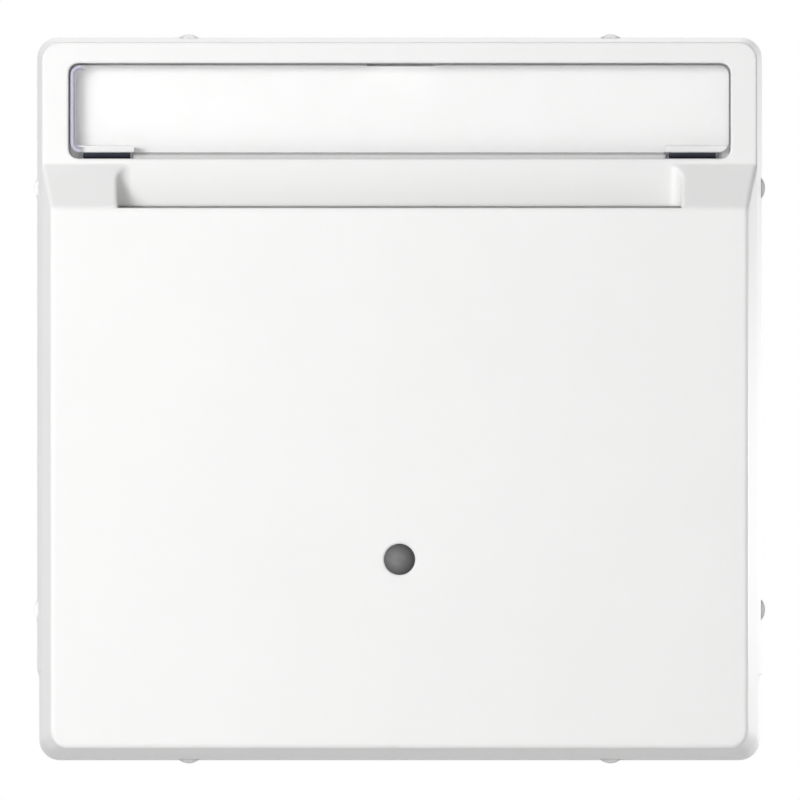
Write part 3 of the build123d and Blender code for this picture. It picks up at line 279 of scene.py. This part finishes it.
def clear(name):
    """Clear lid: see-through over its plate, with painted light and shade: a painted dark
    outline of shade, a painted highlight then painted violet refraction on its left rim, a
    painted grey strip of shade above its hooks, hooks painted dark as shade, and a painted
    shadow line at its notch."""
    material, tree, shader = new_material(name)
    low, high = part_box("label_window")
    foot = low.z + HOOK_LENGTH
    middle_z = (foot + high.z) / 2
    x, y, z = axes_of(tree)
    off_x = maths(tree, "ABSOLUTE", x)
    off_z = maths(tree, "ABSOLUTE", maths(tree, "SUBTRACT", z, middle_z))

    # How far a point lies inside the lid's rounded outline
    over_x = maths(tree, "SUBTRACT", off_x, high.x - LID_CORNER)
    over_z = maths(tree, "SUBTRACT", off_z, (high.z - foot) / 2 - LID_CORNER)
    past_x = maths(tree, "POWER", maths(tree, "MAXIMUM", over_x, 0.0), 2.0)
    past_z = maths(tree, "POWER", maths(tree, "MAXIMUM", over_z, 0.0), 2.0)
    corner = maths(tree, "SQRT", maths(tree, "ADD", past_x, past_z))
    inner = maths(tree, "MINIMUM", maths(tree, "MAXIMUM", over_x, over_z), 0.0)
    inside = maths(tree, "SUBTRACT", LID_CORNER, maths(tree, "ADD", corner, inner))

    # Painted shade along the lid's outline, and on its left rim a painted highlight, then
    # painted violet refraction
    painted_outline_shade = falling(tree, inside, 0, OUTLINE_BAND)
    painted_outline_shade = maths(tree, "MAXIMUM", painted_outline_shade, rising(tree, z, high.z, UPPER_BAND))
    painted_outline_shade = maths(tree, "MULTIPLY", painted_outline_shade, rising(tree, z, foot, ABOVE_FOOT_BAND))
    painted_outline_shade = maths(tree, "MAXIMUM", painted_outline_shade, falling(tree, z, foot, UNDERSIDE_BAND))
    painted_highlight = falling(tree, inside, 0, PAINTED_HIGHLIGHT_BAND)
    shade = blend_colours(tree, painted_highlight, RIM_PAINTED_REFRACTION, RIM_PAINTED_HIGHLIGHT)
    shade = blend_colours(tree, painted_outline_shade, shade, OUTLINE_PAINTED_SHADE)
    painted_refraction = falling(tree, inside, 0, PAINTED_REFRACTION_BAND)
    painted_rim = maths(tree, "MULTIPLY", painted_refraction, falling(tree, x, low.x, LEFT_BAND))
    painted_rim = maths(tree, "MAXIMUM", painted_rim, painted_outline_shade)
    tint = blend_colours(tree, painted_rim, PLATE_TINT, shade)
    veil = spread(tree, painted_rim, PLATE_VEIL, RIM_VEIL, source=(0, 1))

    # The hooks, behind the lid's plate and below its foot: white at their roots, and below the
    # foot painted dark as the shade of their slots
    below = falling(tree, z, foot, BELOW_FOOT_BAND)
    behind = maths(tree, "MAXIMUM", below, rising(tree, y, high.y, BEHIND_BAND))
    # painted shade, darkest below this height over the hooks' tips
    depth = spread(tree, z, 0, 1, source=(low.z + HOOK_SHADE_HEIGHT, foot))
    hook_painted_shade = blend_colours(tree, depth, HOOK_TIP_PAINTED_SHADE, HOOK_HEAD_PAINTED_SHADE)
    painted_hook = blend_colours(tree, below, HOOK_ROOT, hook_painted_shade)
    tint = blend_colours(tree, behind, tint, painted_hook)
    veil = maths(tree, "MAXIMUM", veil, behind)

    # A grey strip of painted shade above the hooks
    painted_strip_shade = maths(tree, "MULTIPLY", rising(tree, off_x, HOOK_INNER, STRIP_SIDE_BAND),
                  falling(tree, z, foot, STRIP_TOP_BAND))
    painted_strip_shade = maths(tree, "MULTIPLY", painted_strip_shade, rising(tree, z, foot, STRIP_FOOT_BAND))
    painted_strip_shade = maths(tree, "MULTIPLY", painted_strip_shade, maths(tree, "SUBTRACT", 1.0, painted_rim))
    tint = blend_colours(tree, painted_strip_shade, tint, FOOT_STRIP_PAINTED_SHADE)
    veil = maths(tree, "MAXIMUM", veil, painted_strip_shade)

    # A painted shadow line at the finger notch in its upper edge
    notch_painted_shadow = maths(tree, "MULTIPLY", falling(tree, off_x, NOTCH_HALF, NOTCH_SIDE_BAND),
                  rising(tree, z, high.z, NOTCH_FOOT_BAND))
    notch_painted_shadow = maths(tree, "MULTIPLY", notch_painted_shadow, falling(tree, y, low.y, NOTCH_FRONT_BAND))
    tint = blend_colours(tree, notch_painted_shadow, tint, NOTCH_PAINTED_SHADOW)
    veil = maths(tree, "MAXIMUM", veil, notch_painted_shadow)

    scuffs = noise(tree, place_of(tree, (1, 1, 3)), SCUFF_SIZE, detail=6.0, roughness=0.7)
    tree.links.new(tint, shader.inputs["Base Color"])
    tree.links.new(veil, shader.inputs["Alpha"])
    gloss = spread(tree, scuffs, *LID_GLOSS)
    tree.links.new(maths(tree, "MAXIMUM", gloss, behind), shader.inputs["Roughness"])
    shader.inputs["Specular IOR Level"].default_value = LID_SPECULAR
    relief(tree, shader, scuffs, SCUFF_RELIEF, 0.15)
    return material


# The lens's dark colour with a painted lit core, and painted shade at its rim
LENS_CORE = (0.20, 0.20, 0.205)
LENS_SWIRL = (0.165, 0.165, 0.17)
LENS_RIM_PAINTED_SHADE = (0.07, 0.07, 0.072)
LENS_PAINTED_LIGHT_LEFT = 0.25 * MM    # its painted light is palest this far left of its middle
LENS_PAINTED_SHADE_FADE = (0.5 * MM, 1.6 * MM)
LENS_SWIRL_SIZE = 0.9 * MM
LENS_ROUGHNESS = (0.55, 0.65)
LENS_SPECULAR = 0.2
LENS_RELIEF = 0.002 * MM


def smoked(name):
    """Smoked lens: dark and satin, with painted light and shade: palest left of its middle,
    darkening towards its rim.
    """
    material, tree, shader = new_material(name)
    low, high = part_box("indicator_lens")
    middle = (low + high) / 2
    place = tree.nodes.new("ShaderNodeTexCoord")
    apart = tree.nodes.new("ShaderNodeVectorMath")
    apart.operation = "DISTANCE"
    tree.links.new(place.outputs["Object"], apart.inputs[0])
    apart.inputs[1].default_value = (middle.x - LENS_PAINTED_LIGHT_LEFT, low.y, middle.z)
    # painted light and shade of a dome lit from the left: palest left of the middle, darkening
    # to the rim
    painted_dome_shading = spread(tree, apart.outputs["Value"], 0, 1, source=LENS_PAINTED_SHADE_FADE)
    swirl = noise(tree, place_of(tree), LENS_SWIRL_SIZE)
    core = blend_colours(tree, spread(tree, swirl, 0, 1), LENS_CORE, LENS_SWIRL)
    tint = blend_colours(tree, painted_dome_shading, core, LENS_RIM_PAINTED_SHADE)
    tree.links.new(tint, shader.inputs["Base Color"])
    tree.links.new(spread(tree, swirl, *LENS_ROUGHNESS), shader.inputs["Roughness"])
    shader.inputs["Specular IOR Level"].default_value = LENS_SPECULAR
    relief(tree, shader, swirl, LENS_RELIEF, 0.1)
    return material


LACQUER_DARK = (0.03, 0.20, 0.09)
LACQUER_PALE = (0.04, 0.26, 0.12)
WEAVE_SIZE = 0.8 * MM
WEAVE_WAVER = 0.6
WEAVE_RELIEF = 0.004 * MM
BOARD_ROUGHNESS = (0.28, 0.36)


def laminate(name):
    """Circuit board: green lacquer over a faint weave."""
    material, tree, shader = new_material(name)
    weave = tree.nodes.new("ShaderNodeTexWave")
    weave.inputs["Scale"].default_value = 1 / WEAVE_SIZE
    weave.inputs["Distortion"].default_value = WEAVE_WAVER
    tree.links.new(place_of(tree), weave.inputs["Vector"])
    pattern = spread(tree, weave.outputs["Fac"], 0, 1, source=(0, 1))
    tint = blend_colours(tree, pattern, LACQUER_DARK, LACQUER_PALE)
    tree.links.new(tint, shader.inputs["Base Color"])
    rough = spread(tree, pattern, *BOARD_ROUGHNESS, source=(0, 1))
    tree.links.new(rough, shader.inputs["Roughness"])
    relief(tree, shader, pattern, WEAVE_RELIEF, 0.25, SMALL_EDGE)
    return material


RESIN_PALE = (0.86, 0.87, 0.84)
RESIN_DARK = (0.78, 0.80, 0.76)
RESIN_CLOUD_SIZE = 1.5 * MM
RESIN_ROUGHNESS = (0.12, 0.2)
RESIN_MILKINESS = 0.3
RESIN_DEPTH = 1 * MM          # how deep light scatters in it
RESIN_RELIEF = 0.004 * MM


def resin(name):
    """Lamp and light pipe: milky resin."""
    material, tree, shader = new_material(name)
    cloud = noise(tree, place_of(tree), RESIN_CLOUD_SIZE)
    tint = blend_colours(tree, spread(tree, cloud, 0, 1), RESIN_PALE, RESIN_DARK)
    tree.links.new(tint, shader.inputs["Base Color"])
    tree.links.new(spread(tree, cloud, *RESIN_ROUGHNESS), shader.inputs["Roughness"])
    shader.inputs["Subsurface Weight"].default_value = RESIN_MILKINESS
    shader.inputs["Subsurface Radius"].default_value = (RESIN_DEPTH, RESIN_DEPTH, RESIN_DEPTH)
    relief(tree, shader, cloud, RESIN_RELIEF, 0.2)
    return material


label_paper = paper("label_paper")
clear_plastic = clear("clear_plastic")
smoked_plastic = smoked("smoked_plastic")
board_laminate = laminate("board_laminate")
lamp_resin = resin("lamp_resin")

FINISHES = {
    cover_plastic: ["front_cover"],
    clear_plastic: ["label_window"],
    label_paper: ["label_insert"],
    smoked_plastic: ["indicator_lens"],
    guide_plastic: ["card_guide"],
    lever_plastic: ["card_lever"],
    button_plastic: ["push_button"],
    housing_plastic: ["housing_lid", "housing_base"],
    release_plastic: ["release_slide_left", "release_slide_right"],
    zinc_steel: [
        "support_ring", "guide_screws", "ring_screws", "claw_left", "claw_right",
        "claw_screw_left", "claw_screw_right", "lever_pin",
    ],
    spring_steel: [
        "lever_spring", "button_spring", "contact_spring", "clamp_springs_left",
        "clamp_springs_right",
    ],
    contact_brass: [
        "contact_arm", "common_terminal", "rest_terminal", "switched_terminal",
        "neutral_terminal",
    ],
    board_laminate: ["lamp_board"],
    lamp_resin: ["lamp", "light_pipe"],
}
for material, names in FINISHES.items():
    for name in names:
        for slot in nodes[name].material_slots:
            slot.material = material

# Floor
FLOOR_DROP = 85 * MM          # below the part, which hangs on a wall in use
FLOOR_SIZE = 1.6
FLOOR_PALE = (0.75, 0.75, 0.75)
FLOOR_DARK = (0.73, 0.73, 0.73)
FLOOR_CLOUD_SIZE = 60 * MM
FLOOR_ROUGHNESS = 0.8
FLOOR_LIFT = 0.38             # a glow that only the camera sees, so it lights nothing

floor_mesh = bpy.data.meshes.new("floor")
half = FLOOR_SIZE / 2
floor_z = rest_low.z - FLOOR_DROP
floor_corners = [(-half, -half), (half, -half), (half, half), (-half, half)]
floor_mesh.from_pydata([(x, y, floor_z) for x, y in floor_corners], [], [(0, 1, 2, 3)])
floor = bpy.data.objects.new("floor", floor_mesh)
bpy.context.scene.collection.objects.link(floor)
floor_paint, floor_tree, floor_shader = new_material("floor_paint")
floor_cloud = noise(floor_tree, place_of(floor_tree), FLOOR_CLOUD_SIZE)
floor_tint = blend_colours(
    floor_tree, spread(floor_tree, floor_cloud, 0, 1), FLOOR_PALE, FLOOR_DARK)
floor_tree.links.new(floor_tint, floor_shader.inputs["Base Color"])
floor_shader.inputs["Roughness"].default_value = FLOOR_ROUGHNESS
floor_rays = floor_tree.nodes.new("ShaderNodeLightPath")
floor_shader.inputs["Emission Color"].default_value = (1, 1, 1, 1)
floor_lift = maths(floor_tree, "MULTIPLY", floor_rays.outputs["Is Camera Ray"], FLOOR_LIFT)
floor_tree.links.new(floor_lift, floor_shader.inputs["Emission Strength"])
floor.data.materials.append(floor_paint)

# Soft lamps, each aimed at the origin: its place and width in metres, and its power in watts
LAMPS = {
    "key_left": ((-0.25, -0.33, 0.10), 0.16, 1.08),
    "front": ((0.02, -0.80, 0.02), 0.30, 1.00),
    "side_right": ((0.105, 0.030, -0.012), 0.04, 0.055),
    "above_behind": ((0.05, 0.55, 0.70), 0.45, 3.56),
    "above": ((0.0, -0.15, 0.90), 0.45, 0.57),
}
AMBIENT = 0.20                # how strongly the surroundings light the part
SURROUNDINGS = 1.0            # and how bright they look, seen or mirrored

for name, (place, width, power) in LAMPS.items():
    lamp_data = bpy.data.lights.new(name, "AREA")
    lamp_data.size = width
    lamp_data.energy = power
    lamp = bpy.data.objects.new(name, lamp_data)
    lamp.visible_camera = False
    lamp.location = place
    lamp.rotation_mode = "QUATERNION"
    lamp.rotation_quaternion = (-Vector(place)).to_track_quat("-Z", "Y")
    bpy.context.scene.collection.objects.link(lamp)

world = bpy.data.worlds.new("studio")
bpy.context.scene.world = world
world.use_nodes = True
sky = world.node_tree
sky.nodes.clear()
sky_output = sky.nodes.new("ShaderNodeOutputWorld")
backgrounds = []
for strength in (AMBIENT, SURROUNDINGS):
    background = sky.nodes.new("ShaderNodeBackground")
    background.inputs["Color"].default_value = (1, 1, 1, 1)
    background.inputs["Strength"].default_value = strength
    backgrounds.append(background.outputs["Background"])
rays = sky.nodes.new("ShaderNodeLightPath").outputs
seen = maths(sky, "MAXIMUM", rays["Is Camera Ray"], rays["Is Glossy Ray"])
seen = maths(sky, "MAXIMUM", seen, rays["Is Transmission Ray"])
switch = sky.nodes.new("ShaderNodeMixShader")
sky.links.new(seen, switch.inputs["Fac"])
sky.links.new(backgrounds[0], switch.inputs[1])
sky.links.new(backgrounds[1], switch.inputs[2])
sky.links.new(switch.outputs["Shader"], sky_output.inputs["Surface"])

# Camera
SENSOR = 36.0
LENS = 1500.0                 # long, because the photo shows almost no perspective
FRAME_WIDTH = 78.48 * MM      # what the picture spans
FRAME_DEPTH = 5 * MM          # and where, behind the face of the card pocket
AIM_X = 0.04 * MM
AIM_Z = -0.11 * MM

pocket_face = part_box("front_cover")[0].y
camera_data = bpy.data.cameras.new("camera")
camera_data.sensor_width = SENSOR
camera_data.lens = LENS
camera = bpy.data.objects.new("camera", camera_data)
camera.location = (AIM_X, pocket_face + FRAME_DEPTH - FRAME_WIDTH * LENS / SENSOR, AIM_Z)
camera.rotation_euler = (math.pi / 2, 0, 0)
bpy.context.scene.collection.objects.link(camera)
bpy.context.scene.camera = camera
bpy.context.scene.view_settings.view_transform = "Standard"
